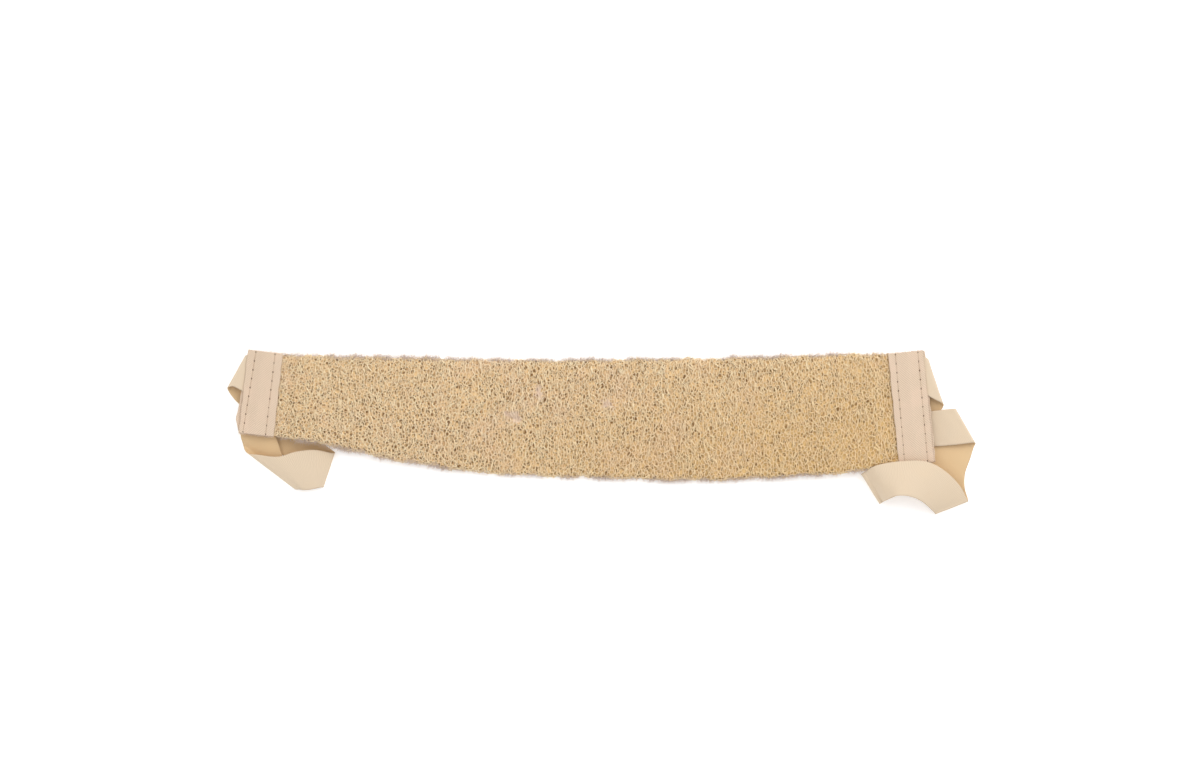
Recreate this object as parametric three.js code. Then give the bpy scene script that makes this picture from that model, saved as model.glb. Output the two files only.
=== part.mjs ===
// A natural loofah back scrubber, lying flat on a shelf and seen from above.
// A pressed strip of loofah gourd has its two short ends closed between a front and a
// back length of cotton tape, sewn through with two rows of stitches. A ribbon handle is
// sewn in at each end. Both handles lie collapsed, in runs that turn at soft folds.
// Millimetres. +X runs along the strip, +Y across it and +Z up, off the shelf.
// The origin is on the shelf, under the middle of the whole thing.
import * as THREE from "three";

// Driving dimensions
const CLOTH = 0.7; // thickness of the tape and of the ribbon
const TAPE_WIDTH = 30;
const PAD_THICK = 8; // the strip's body, between the crests of its net
const PAD_END_THICK = 4.6; // where it is squeezed between the tapes
const SEWN_LENGTH = 20; // how much of the strip each pair of tapes holds
const EASE_LENGTH = 15; // from the tape's edge to the full thickness
const GAP = 0.35; // clearance between neighbouring pieces
const LIFT = { left: 7, right: 5.5 }; // how far the dry strip's ends stand off the shelf
const LIFT_SPAN = { left: [95, 270], right: [85, 245] }; // from the middle, along X
const SLOW_WAVES = [[0.35, 31, 0], [0.25, 13, 1]]; // of the thickness: height, length, phase
const REST = new THREE.Vector2(-10, 12); // middle of the flat spot that it rests on
const REST_RADIUS = 9;
const SHELF = 0;

// The strip's two long edges, each from the left end to the right end
const UPPER_EDGE = [
  [-286, 67.5], [-256, 66], [-180, 64.5], [-103, 62.6], [-35, 61.8], [16, 62.5],
  [84, 63.4], [160, 65.2], [211, 67], [261, 68],
];
const LOWER_EDGE = [
  [-292.5, -0.5], [-256, -6], [-231, -10.5], [-205, -16.5], [-180, -22.5], [-137, -29],
  [-103, -33.6], [-61, -36.2], [-1, -38], [75, -40.2], [118, -39.2], [169, -36.2],
  [213, -33.2], [229, -30.2], [252, -26.8], [270, -25.5],
];

// The net of fibres: rows of six-sided meshes that run right round the strip
const MESH_COLUMNS = 78;
const MESH_ROWS = 22; // even, so that the rows close on themselves
const MESH_TIP = 0.62; // share of a row's pitch from a mesh's middle to its tip
const MESH_DEPTH = [1.3, 2.4];
const CREST_RISE = [-0.35, 0.55];
const STRAND_RISE = 0.45; // some strands across the strip stand higher
const STRAND_SHARE = 0.4;
const FLOOR_WANDER = 0.2; // how far the bottom of a mesh strays, in columns
const WANDER = [0.3, 0.13]; // how far a knot strays, in columns and in rows
const UNDER_TAPE = 0.16; // share of the relief that is left where it is pressed

const clamp = THREE.MathUtils.clamp;
const smooth = (x, from, to) => THREE.MathUtils.smoothstep(x, from, to);
const mix = THREE.MathUtils.lerp;

function seededDraw(seed) {
  let state = seed;
  return () => {
    state = (state + 0x6d2b79f5) | 0;
    let t = Math.imul(state ^ (state >>> 15), 1 | state);
    t = (t + Math.imul(t ^ (t >>> 7), 61 | t)) ^ t;
    return ((t ^ (t >>> 14)) >>> 0) / 4294967296;
  };
}

function closedGeometry(points, faces) {
  const geometry = new THREE.BufferGeometry();
  geometry.setAttribute(
    "position",
    new THREE.Float32BufferAttribute(points.flatMap((p) => [p.x, p.y, p.z]), 3),
  );
  geometry.setIndex(faces.flat());
  geometry.computeVertexNormals();
  return geometry;
}

function smoothLine(points) {
  return new THREE.CatmullRomCurve3(
    points.map(([x, y, z = 0]) => new THREE.Vector3(x, y, z)),
    false,
    "centripetal",
  );
}

// The loofah strip

const upperEdge = smoothLine(UPPER_EDGE);
const lowerEdge = smoothLine(LOWER_EDGE);

// How high the strip's underside stands, at a place along X
function liftAt(x) {
  return LIFT.left * smooth(-x, ...LIFT_SPAN.left) + LIFT.right * smooth(x, ...LIFT_SPAN.right);
}

// One crosswise section of the strip: share runs from 0 at the left end to 1 at the right
function stripSection(share) {
  const upper = upperEdge.getPointAt(share);
  const lower = lowerEdge.getPointAt(share);
  const fromEnd = Math.min(share, 1 - share) * upperEdge.getLength();
  const ease = smooth(fromEnd, SEWN_LENGTH, SEWN_LENGTH + EASE_LENGTH);
  const middle = upper.clone().add(lower).multiplyScalar(0.5);
  const slowWave = SLOW_WAVES.reduce(
    (sum, [height, length, phase]) => sum + height * Math.sin(middle.x / length + phase),
    0,
  );
  return {
    middle,
    across: upper.clone().sub(lower).normalize(),
    half: upper.distanceTo(lower) / 2,
    thick: mix(PAD_END_THICK, PAD_THICK + slowWave, ease),
    relief: mix(UNDER_TAPE, 1, ease),
  };
}

// A point of the strip's skin, at a share of the way round its section, raised by rise.
// The section is flat above and below, with half-round edges.
function skinPoint(section, turn, rise) {
  const radius = section.thick / 2;
  const flat = section.half - radius;
  const arc = Math.PI * radius;
  const around = (((turn % 1) + 1) % 1) * (4 * flat + 2 * arc);
  let side;
  let height;
  let out;
  if (around < 2 * flat) {
    side = flat - around;
    height = radius;
    out = [0, 1];
  } else if (around < 2 * flat + arc) {
    const angle = Math.PI / 2 + (around - 2 * flat) / radius;
    out = [Math.cos(angle), Math.sin(angle)];
    side = -flat + radius * out[0];
    height = radius * out[1];
  } else if (around < 4 * flat + arc) {
    side = -flat + (around - 2 * flat - arc);
    height = -radius;
    out = [0, -1];
  } else {
    const angle = -Math.PI / 2 + (around - 4 * flat - arc) / radius;
    out = [Math.cos(angle), Math.sin(angle)];
    side = flat + radius * out[0];
    height = radius * out[1];
  }
  const point = section.middle.clone().addScaledVector(section.across, side + rise * out[0]);
  const underside = liftAt(point.x) + CREST_RISE[1] / 2;
  point.z = underside + radius + height + rise * out[1];
  const onRest = out[1] < 0 && REST.distanceTo(new THREE.Vector2(point.x, point.y)) < REST_RADIUS;
  point.z = onRest ? SHELF : Math.max(point.z, SHELF);
  return point;
}

function loofahStrip() {
  const draw = seededDraw(7);
  const between = ([low, high]) => mix(low, high, draw());
  const knots = MESH_COLUMNS * 2; // two knots to each mesh, along the strip
  const points = [];
  const faces = [];
  const place = (column, row, rise) => {
    const section = stripSection(clamp(column / knots, 0, 1));
    const held = section.relief < 1 ? Math.min(rise * section.relief, 0) : rise;
    points.push(skinPoint(section, row / MESH_ROWS, held));
    return points.length - 1;
  };

  const strand = Array.from({ length: knots + 1 }, () => (draw() < STRAND_SHARE ? STRAND_RISE : 0));
  const knot = [];
  for (let row = 0; row < MESH_ROWS; row++) {
    knot.push([]);
    for (let column = 0; column <= knots; column++) {
      const tip = (column - row) % 2 === 0;
      const loose = column > 0 && column < knots;
      const stray = loose ? (draw() - 0.5) * 2 * WANDER[0] : 0;
      const shift = (draw() - 0.5) * 2 * WANDER[1];
      const at = row + (tip ? MESH_TIP : 1 - MESH_TIP) + shift;
      knot[row].push(place(column + stray, at, between(CREST_RISE) + strand[column]));
    }
  }
  for (let row = 0; row < MESH_ROWS; row++) {
    const over = knot[row];
    const under = knot[(row + MESH_ROWS - 1) % MESH_ROWS];
    for (let middle = row % 2; middle <= knots; middle += 2) {
      if (middle === 0) {
        faces.push([over[0], under[1], under[0]], [over[0], over[1], under[1]]);
      } else if (middle === knots) {
        const last = knots - 1;
        faces.push([over[last], under[knots], under[last]], [over[last], over[knots], under[knots]]);
      } else {
        const stray = (draw() - 0.5) * 2 * FLOOR_WANDER;
        const floor = place(middle + stray, row, -between(MESH_DEPTH));
        const rim = [
          over[middle - 1], under[middle - 1], under[middle],
          under[middle + 1], over[middle + 1], over[middle],
        ];
        rim.forEach((corner, i) => faces.push([floor, rim[(i + 1) % rim.length], corner]));
      }
    }
  }
  for (const [column, facesLeft] of [[0, true], [knots, false]]) {
    const ring = knot.map((row) => row[column]);
    const centre = ring
      .reduce((sum, i) => sum.add(points[i]), new THREE.Vector3())
      .divideScalar(ring.length);
    points.push(centre);
    const hub = points.length - 1;
    ring.forEach((corner, i) => {
      const next = ring[(i + 1) % ring.length];
      faces.push(facesLeft ? [hub, next, corner] : [hub, corner, next]);
    });
  }
  return closedGeometry(points, faces);
}

// A thin strip of cloth: rows of points on its middle surface, thickened both ways

function clothGeometry(rows, normals) {
  const wide = rows[0].length;
  const half = CLOTH / 2;
  const points = [];
  for (const side of [1, -1]) {
    rows.forEach((row, i) =>
      row.forEach((p, j) => points.push(p.clone().addScaledVector(normals[i][j], side * half))),
    );
  }
  const offset = rows.length * wide;
  const faces = [];
  const quad = (a, b, c, d) => faces.push([a, b, c], [a, c, d]);
  for (let i = 0; i + 1 < rows.length; i++) {
    for (let j = 0; j + 1 < wide; j++) {
      const a = i * wide + j;
      const [b, c, d] = [a + wide, a + wide + 1, a + 1];
      quad(a, b, c, d);
      faces.push([a + offset, c + offset, b + offset], [a + offset, d + offset, c + offset]);
    }
    const low = i * wide;
    const high = low + wide - 1;
    quad(low, low + offset, low + wide + offset, low + wide);
    quad(high, high + wide, high + wide + offset, high + offset);
  }
  for (let j = 0; j + 1 < wide; j++) {
    const last = (rows.length - 1) * wide + j;
    quad(j, j + 1, j + 1 + offset, j + offset);
    quad(last, last + offset, last + 1 + offset, last + 1);
  }
  return closedGeometry(points, faces);
}

// The tapes that close the strip's ends

const TAPE_STEPS_ACROSS = [-15, -12, -9.2, -7, -3.5, 0, 3.5, 7, 9.2, 12, 15];
const TAPE_ROWS = 9;
const PUCKER = 0.45; // how far the tape swells between its two rows of stitches
const PUCKER_REACH = 9.2;
const ONTO_STRIP = [-6.5, -1.5]; // where across the tape it rises onto the strip's end
const OVER_STRIP = 0.45; // clearance between the tape and the strip
const OUTER_GAP = 0.75; // half the space between the tapes past the strip's end
const END_DROOP = 0.6; // the tape's two cut ends hug the strip's thin edges
const DROOP_LENGTH = 3.5;

// end: which end of the strip, face: 1 for the front tape and -1 for the back one.
// top and bottom are the ends of the tape's middle line.
const TAPES = {
  front_tape_left: { end: "left", face: 1, top: [-284.8, 69], bottom: [-292.6, -1.3] },
  back_tape_left: {
    end: "left", face: -1, top: [-283.6, 67.2], bottom: [-297.6, -3.4], trimmed: [5, 12],
  },
  front_tape_right: { end: "right", face: 1, top: [258.8, 68.6], bottom: [268.2, -25.7] },
  back_tape_right: { end: "right", face: -1, top: [258, 68.2], bottom: [267.4, -25.4] },
};

function endHeight(end) {
  return LIFT[end] + CREST_RISE[1] / 2 + PAD_END_THICK / 2;
}

function tapeFrame(tape) {
  const top = new THREE.Vector3(...tape.top, 0);
  const bottom = new THREE.Vector3(...tape.bottom, 0);
  const axis = bottom.clone().sub(top).normalize();
  const towardsStrip = new THREE.Vector3(-axis.y, axis.x, 0);
  if (tape.end === "right") towardsStrip.negate();
  return { top, axis, towardsStrip, length: top.distanceTo(bottom) };
}

// A tape's middle surface, at inward (from its middle line towards the strip) and along
// (0 at its top end, 1 at its bottom end)
function tapePoint(tape, inward, along) {
  const { top, axis, towardsStrip, length } = tapeFrame(tape);
  const overStrip = smooth(inward, ...ONTO_STRIP);
  const halfGap = mix(OUTER_GAP, PAD_END_THICK / 2 + OVER_STRIP, overStrip);
  const swell = PUCKER * Math.cos((Math.PI / 2) * clamp(inward / PUCKER_REACH, -1, 1)) ** 2;
  const fromEnd = length / 2 - Math.abs(along - 0.5) * length;
  const droop = overStrip * END_DROOP * clamp(1 - fromEnd / DROOP_LENGTH, 0, 1) ** 2;
  const point = top.addScaledVector(axis, along * length).addScaledVector(towardsStrip, inward);
  point.z = endHeight(tape.end) + tape.face * (halfGap + CLOTH / 2 + swell - droop);
  return point;
}

function tapeGeometry(tape) {
  const rows = [];
  const normals = [];
  const { length } = tapeFrame(tape);
  const [trimIn, trimUp] = tape.trimmed ?? [0, 1];
  for (let i = 0; i < TAPE_ROWS; i++) {
    const along = 0.5 - 0.5 * Math.cos((Math.PI * i) / (TAPE_ROWS - 1));
    const nearBottom = clamp(1 - ((1 - along) * length) / trimUp, 0, 1);
    const scale = (inward) => {
      const outer = -TAPE_WIDTH / 2 + trimIn * nearBottom;
      return THREE.MathUtils.mapLinear(
        inward, -TAPE_WIDTH / 2, TAPE_WIDTH / 2, outer, TAPE_WIDTH / 2,
      );
    };
    rows.push(TAPE_STEPS_ACROSS.map((inward) => tapePoint(tape, scale(inward), along)));
    normals.push(TAPE_STEPS_ACROSS.map(() => new THREE.Vector3(0, 0, 1)));
  }
  if (tape.end === "right") {
    rows.forEach((row) => row.reverse());
  }
  return clothGeometry(rows, normals);
}

// The rows of stitches: a chain of long, narrow stitches joined at the needle holes

const THREAD_RADIUS = 0.36;
const NEEDLE_RADIUS = 0.14;
const STITCH = 7.5;
const SEAM_INSET = 1.2; // from the tape's cut end to the first stitch

// from and to: how far inward each row stands at the tape's top and bottom
const SEAMS = {
  outer_left: { end: "left", from: -8, to: -11.5 },
  inner_left: { end: "left", from: 8.5, to: 8 },
  outer_right: { end: "right", from: -9.4, to: -8.6 },
  inner_right: { end: "right", from: 9, to: 10 },
};

// Where a ribbon's end is sewn flat on the back tape, the back row passes under it
const RIBBON_ON_BACK = { left: 0.5, right: 0.84 };
const UNDER_RIBBON = 5.65; // how far that stretch lies below the middle of the strip's end
const DIVE = 0.07; // share of the row over which it goes from the tape to there

// The back row lies straight under the front one, because the needle goes through both tapes.
function seamGeometry(seam, face) {
  const front = TAPES[`front_tape_${seam.end}`];
  const { length } = tapeFrame(front);
  const back = TAPES[`back_tape_${seam.end}`];
  const backFrame = tapeFrame(back);
  const sewn = length - 2 * SEAM_INSET;
  const stitches = Math.round(sewn / STITCH);
  const offset = CLOTH / 2 + GAP + THREAD_RADIUS;
  const rings = [];
  for (let i = 0; i <= 2 * stitches; i++) {
    const along = (SEAM_INSET + (i / (2 * stitches)) * sewn) / length;
    const centre = tapePoint(front, mix(seam.from, seam.to, along), along);
    if (face < 0) {
      const fromTop = new THREE.Vector3(centre.x, centre.y, 0).sub(backFrame.top);
      const backAlong = fromTop.dot(backFrame.axis) / backFrame.length;
      const tapeHeight = tapePoint(back, fromTop.dot(backFrame.towardsStrip), backAlong).z;
      const begins = RIBBON_ON_BACK[seam.end];
      const covered = smooth(along, begins - DIVE, begins);
      centre.z = mix(tapeHeight - offset, endHeight(seam.end) - UNDER_RIBBON, covered);
    } else {
      centre.z += offset;
    }
    rings.push({ centre, radius: i % 2 ? THREAD_RADIUS : NEEDLE_RADIUS });
  }
  const points = [];
  const faces = [];
  const corners = [[1, 0], [0, 1], [-1, 0], [0, -1]];
  rings.forEach(({ centre, radius }) =>
    corners.forEach(([x, z]) =>
      points.push(new THREE.Vector3(centre.x + x * radius, centre.y, centre.z + z * radius)),
    ),
  );
  for (let i = 0; i + 1 < rings.length; i++) {
    for (let j = 0; j < 4; j++) {
      const a = i * 4 + j;
      const b = i * 4 + ((j + 1) % 4);
      faces.push([a, b, b + 4], [a, b + 4, a + 4]);
    }
  }
  const last = (rings.length - 1) * 4;
  faces.push([0, 2, 1], [0, 3, 2], [last, last + 1, last + 2], [last, last + 2, last + 3]);
  return closedGeometry(points, faces);
}

// The ribbon handles. Each lies in runs that turn at soft folds. A station gives the two
// edges of the ribbon, a and b, at one crossing: [x, y, z]. A fold has the two ends of its
// crease, and for each the height at which the ribbon comes in and goes out.

const LEFT_HANDLE = [
  { a: [-304.5, 24, 5.1], b: [-274.5, 21, 5.1] },
  { a: [-305.4, 8, 5.1], b: [-275.4, 5, 5.1] },
  { a: [-306.2, -1, 4.8], b: [-275.4, -5, 4.8] },
  { fold: { a: [-301, -16.5, 1.8, 9.2], b: [-261.5, -46.8, 0.8, 5.6] } },
  { a: [-274, -19.9, 10], b: [-252.4, -48.4, 6.6] },
  { a: [-259, -15.7, 9.6], b: [-248.4, -48.2, 6.9] },
  { a: [-243, -14.2, 8], b: [-243, -47.2, 6.5] },
  { fold: { a: [-226.4, -16.6, 5.6, 0.9], b: [-236, -46, 4.8, 0.8] } },
  { a: [-254.2, 6.4, 0.9], b: [-275.2, -15, 0.9] },
  { a: [-281.8, 43.4, 1.1], b: [-303, 19.6, 1.1] },
  { a: [-293, 55.5, 1.5], b: [-309, 27.5, 1.4] },
  { fold: { a: [-302.4, 65.2, 2.4, 9.55], b: [-317.2, 38.4, 2.2, 9.55] } },
  { a: [-291.5, 61.2, 9.57], b: [-298.2, 32, 9.57] },
];

const RIGHT_HANDLE = [
  { a: [263, 66, 8.07], b: [270.5, 35, 8.07] },
  { fold: { a: [277.5, 62, 8, 2.8], b: [290, 24, 7.8, 2.4] } },
  { a: [265.5, 38, 1.7], b: [286, 6, 1.5] },
  { fold: { a: [254.6, 17.3, 0.8, 2.9], b: [281.5, -11.6, 0.8, 3] } },
  { a: [279, 18.6, 4.4], b: [291, -10.8, 4.2] },
  { a: [291, 19.9, 7], b: [303, -9.6, 5.8] },
  { fold: { a: [300.6, 20.2, 7.4, 2.4], b: [317.6, -8.6, 6.2, 1.6] } },
  { a: [288, -3.5, 1.5], b: [313.5, -21, 1.4] },
  { a: [280.5, -24, 1.1], b: [308.8, -35, 1.3] },
  { a: [279, -45, 0.9], b: [308.6, -46, 1.2] },
  { fold: { a: [283.5, -69, 0.8, 4.4], b: [311.6, -58, 0.9, 5] } },
  { a: [278.6, -64, 10.5], b: [304.5, -45.6, 8.4] },
  { a: [269.5, -57, 20], b: [291, -34.2, 12.6] },
  { a: [259, -53, 26], b: [273.6, -26.6, 15.6] },
  { a: [250, -52.6, 26.4], b: [250, -24, 16.4] },
  { a: [242.4, -56, 19], b: [231, -27.8, 15.4] },
  { fold: { a: [236.2, -60.2, 7.6, 2.4], b: [220.4, -34.6, 9.4, 3.2] } },
  { a: [252, -50.4, 2.9], b: [236, -24.6, 3.1] },
  { a: [265, -42.6, 3.45], b: [249, -16.4, 3.45] },
  { a: [279.6, -34, 3.45], b: [263.6, -8, 3.45] },
];

const FOLD_STEPS = 4;
const MOST_LEAN = 1.3; // how far the edges slip along a crease, for each step over it
const STEPS_PER_SPAN = 2;

// The points of one edge of a ribbon, with each fold turned through a half circle. Where the
// ribbon meets its crease at a slant, its edges slip along the crease as they turn over it.
function edgeLine(stations, edge) {
  const middleOf = ({ a, b }) => new THREE.Vector2((a[0] + b[0]) / 2, (a[1] + b[1]) / 2);
  return smoothLine(
    stations.flatMap((station, i) => {
      if (!station.fold) return [station[edge]];
      const { a, b } = station.fold;
      const crease = new THREE.Vector2(b[0] - a[0], b[1] - a[1]).normalize();
      const outward = new THREE.Vector2(-crease.y, crease.x);
      const before = middleOf(stations[i - 1]);
      if (outward.dot(middleOf(station.fold).sub(before)) < 0) outward.negate();
      const heading = middleOf(station.fold).sub(before);
      const lean = clamp(heading.dot(crease) / heading.dot(outward), -MOST_LEAN, MOST_LEAN);
      const [x, y, zIn, zOut] = station.fold[edge];
      const radius = Math.abs(zOut - zIn) / 2;
      return Array.from({ length: FOLD_STEPS + 1 }, (_, k) => {
        const turn = (Math.PI * k) / FOLD_STEPS;
        const reach = radius * (Math.sin(turn) - 1);
        const slip = radius * (turn - Math.PI / 2) * lean;
        const height = (zIn + zOut) / 2 - ((zOut - zIn) / 2) * Math.cos(turn);
        return [
          x + outward.x * reach + crease.x * slip,
          y + outward.y * reach + crease.y * slip,
          height,
        ];
      });
    }),
  );
}

function ribbonGeometry(stations) {
  const lineA = edgeLine(stations, "a");
  const lineB = edgeLine(stations, "b");
  const steps = (lineA.points.length - 1) * STEPS_PER_SPAN;
  const rows = [];
  for (let i = 0; i <= steps; i++) rows.push([lineA.getPoint(i / steps), lineB.getPoint(i / steps)]);
  const normals = rows.map((row, i) => {
    const next = rows[Math.min(i + 1, steps)];
    const last = rows[Math.max(i - 1, 0)];
    return [0, 1].map((side) => {
      const onward = next[side].clone().sub(last[side]);
      return onward.cross(row[1].clone().sub(row[0])).normalize();
    });
  });
  return clothGeometry(rows, normals);
}

// Materials and the whole thing

const loofah = new THREE.MeshStandardMaterial({ color: 0xd3b48d, roughness: 0.95, metalness: 0 });
const cottonTape = new THREE.MeshStandardMaterial({ color: 0xe6d0b7, roughness: 0.9, metalness: 0 });
const ribbon = new THREE.MeshStandardMaterial({ color: 0xebd6ba, roughness: 0.7, metalness: 0 });
const thread = new THREE.MeshStandardMaterial({ color: 0xb89f84, roughness: 0.8, metalness: 0 });

const scrubber = new THREE.Group();

function addPiece(name, geometry, material) {
  const piece = new THREE.Mesh(geometry, material);
  piece.name = name;
  scrubber.add(piece);
}

addPiece("loofah_strip", loofahStrip(), loofah);
for (const [name, tape] of Object.entries(TAPES)) addPiece(name, tapeGeometry(tape), cottonTape);
for (const [name, seam] of Object.entries(SEAMS)) {
  addPiece(`needle_thread_${name}`, seamGeometry(seam, 1), thread);
  addPiece(`bobbin_thread_${name}`, seamGeometry(seam, -1), thread);
}
addPiece("ribbon_handle_left", ribbonGeometry(LEFT_HANDLE), ribbon);
addPiece("ribbon_handle_right", ribbonGeometry(RIGHT_HANDLE), ribbon);

export default scrubber;
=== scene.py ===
# A natural loofah back scrubber: a pressed strip of loofah gourd, its two ends bound in
# cotton tape, with a ribbon handle sewn in at each end. It lies flat on a white table and
# is seen from straight above. Metres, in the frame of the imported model.
import math

import bpy
import numpy as np
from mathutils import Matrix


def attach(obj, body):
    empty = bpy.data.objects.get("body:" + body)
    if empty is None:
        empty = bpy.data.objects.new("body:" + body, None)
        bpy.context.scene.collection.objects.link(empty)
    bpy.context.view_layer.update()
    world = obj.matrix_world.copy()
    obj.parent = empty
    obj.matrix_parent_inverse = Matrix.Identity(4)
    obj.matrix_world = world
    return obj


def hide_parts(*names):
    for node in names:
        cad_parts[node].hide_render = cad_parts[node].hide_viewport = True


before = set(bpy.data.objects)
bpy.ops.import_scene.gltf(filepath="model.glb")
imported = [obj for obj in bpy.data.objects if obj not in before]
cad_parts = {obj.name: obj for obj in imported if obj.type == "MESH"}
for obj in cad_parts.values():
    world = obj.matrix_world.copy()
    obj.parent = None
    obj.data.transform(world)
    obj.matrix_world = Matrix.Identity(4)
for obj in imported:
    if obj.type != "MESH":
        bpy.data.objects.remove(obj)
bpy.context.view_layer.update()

# The table, the camera and the light
# The camera hangs over the table and looks straight down through a long lens. The light is
# that of a white studio, with a broad soft panel to the upper right and a lit table top.
photo_size_px = (1200, 760)
origin_px = (601.5, 433.0)
metres_per_px = 0.00085
camera_height = 3.5
sensor_width = 36.0

camera_data = bpy.data.cameras.new("camera over the table")
camera_data.sensor_width = sensor_width
camera_data.lens = sensor_width * camera_height / (photo_size_px[0] * metres_per_px)
camera_data.clip_end = 50.0


def placed(name, data):
    """A new object, linked into the scene."""
    made = bpy.data.objects.new(name, data)
    bpy.context.collection.objects.link(made)
    return made


camera = placed("camera over the table", camera_data)
camera.location = (
    (photo_size_px[0] / 2 - origin_px[0]) * metres_per_px,
    (origin_px[1] - photo_size_px[1] / 2) * metres_per_px,
    camera_height,
)
bpy.context.scene.camera = camera


def hang_panel(name, place, size, power):
    panel = bpy.data.lights.new(name, "AREA")
    panel.shape = "RECTANGLE"
    panel.size, panel.size_y = size
    panel.energy = power
    holder = placed(name, panel)
    holder.location = place
    towards = -holder.location
    holder.rotation_euler = towards.to_track_quat("-Z", "Y").to_euler()


hang_panel("broad panel", (1.2, 1.3, 1.9), (2.2, 1.6), 28.0)
hang_panel("weak panel", (-1.6, 0.6, 1.6), (1.6, 1.6), 8.0)

sky = bpy.data.worlds.new("white studio")
sky.use_nodes = True
sky.node_tree.nodes["Background"].inputs["Color"].default_value = (0.97, 0.985, 1.0, 1.0)
sky.node_tree.nodes["Background"].inputs["Strength"].default_value = 0.87
bpy.context.scene.world = sky
bpy.context.scene.view_settings.view_transform = "Standard"


def new_material(name):
    """A material, its tree, and the inputs of its shader."""
    material = bpy.data.materials.new(name)
    material.use_nodes = True
    tree = material.node_tree
    return material, tree, tree.nodes["Principled BSDF"].inputs


table_white, _, table_shader = new_material("white table")
table_shader["Base Color"].default_value = (0.94, 0.94, 0.94, 1.0)
table_shader["Roughness"].default_value = 0.8
table_shader["Emission Color"].default_value = (1.0, 1.0, 1.0, 1.0)
table_shader["Emission Strength"].default_value = 0.30
table_reach = 6.0
table_height = -0.0001
corners = ((-1, -1), (1, -1), (1, 1), (-1, 1))
table_mesh = bpy.data.meshes.new("table")
table_mesh.from_pydata(
    [(x * table_reach, y * table_reach, table_height) for x, y in corners], [], [(0, 1, 2, 3)]
)
table_mesh.materials.append(table_white)
table = placed("table", table_mesh)

# The loofah strip: its skin
# One gourd, cut open along its side, soaked, pressed flat and dried. Everything that the
# strip shows is laid over this smooth skin, which itself is not seen. Its two long edges
# are those of the gourd, and its ends are squeezed thin where the tapes hold them.
strip_upper_edge = [
    (-0.286, 0.0675), (-0.256, 0.066), (-0.180, 0.0645), (-0.103, 0.0626), (-0.035, 0.0618),
    (0.016, 0.0625), (0.084, 0.0634), (0.160, 0.0652), (0.211, 0.067), (0.261, 0.068),
]
strip_lower_edge = [
    (-0.2925, -0.0005), (-0.256, -0.006), (-0.231, -0.0105), (-0.205, -0.0165),
    (-0.180, -0.0225), (-0.137, -0.029), (-0.103, -0.0336), (-0.061, -0.0362),
    (-0.001, -0.038), (0.075, -0.0402), (0.118, -0.0392), (0.169, -0.0362),
    (0.213, -0.0332), (0.229, -0.0302), (0.252, -0.0268), (0.270, -0.0255),
]
strip_thickness = 0.0080
sewn_thickness = 0.0046
sewn_length = 0.020
ease_length = 0.015
pressed_length = 0.0155
relief_length = 0.003
end_lift = {"left": 0.0070, "right": 0.0055}
left_rise = (0.095, 0.270)
right_rise = (0.085, 0.245)
base_height = 0.00028
least_height = 0.0004
unrolled_size = (0.556, 0.200)
squeezed_share = 0.18
squeezed_in = 0.0006


def ramp(x, start, end):
    t = np.clip((x - start) / (end - start), 0.0, 1.0)
    return t * t * (3.0 - 2.0 * t)


def smooth_line(points, per_span):
    """A centripetal Catmull-Rom line through the points, with per_span steps between two."""
    p = np.array(points, float)
    p = np.vstack([2 * p[0] - p[1], p, 2 * p[-1] - p[-2]])
    rows = []
    for i in range(1, len(p) - 2):
        knots = [0.0]
        for a, b in zip(p[i - 1 : i + 2], p[i : i + 3]):
            knots.append(knots[-1] + max(np.linalg.norm(b - a), 1e-6) ** 0.5)
        k0, k1, k2, k3 = knots
        last = i == len(p) - 3
        for t in np.linspace(k1, k2, per_span + 1)[: None if last else -1]:
            a1 = (p[i - 1] * (k1 - t) + p[i] * (t - k0)) / (k1 - k0)
            a2 = (p[i] * (k2 - t) + p[i + 1] * (t - k1)) / (k2 - k1)
            a3 = (p[i + 1] * (k3 - t) + p[i + 2] * (t - k2)) / (k3 - k2)
            b1 = (a1 * (k2 - t) + a2 * (t - k0)) / (k2 - k0)
            b2 = (a2 * (k3 - t) + a3 * (t - k1)) / (k3 - k1)
            rows.append((b1 * (k2 - t) + b2 * (t - k1)) / (k2 - k1))
    return np.array(rows)


def evenly(line, shares):
    """Points of a line at shares of its length, and that length."""
    along = np.r_[0.0, np.cumsum(np.linalg.norm(np.diff(line, axis=0), axis=1))]
    places = np.asarray(shares) * along[-1]
    return np.stack([np.interp(places, along, c) for c in line.T], axis=-1), along[-1]


def lift_at(x):
    left = end_lift["left"] * ramp(-x, *left_rise)
    return left + end_lift["right"] * ramp(x, *right_rise)


def uneven(along, phase):
    """How far a natural edge stands out of its smooth line, in bumps of several lengths."""
    bumps = ((0.00045, 0.0071), (0.00035, 0.0032), (0.00025, 0.0016), (0.00015, 0.0009))
    return sum(size * np.sin(along / wave + phase * (k + 1)) for k, (size, wave) in enumerate(bumps))


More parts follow.
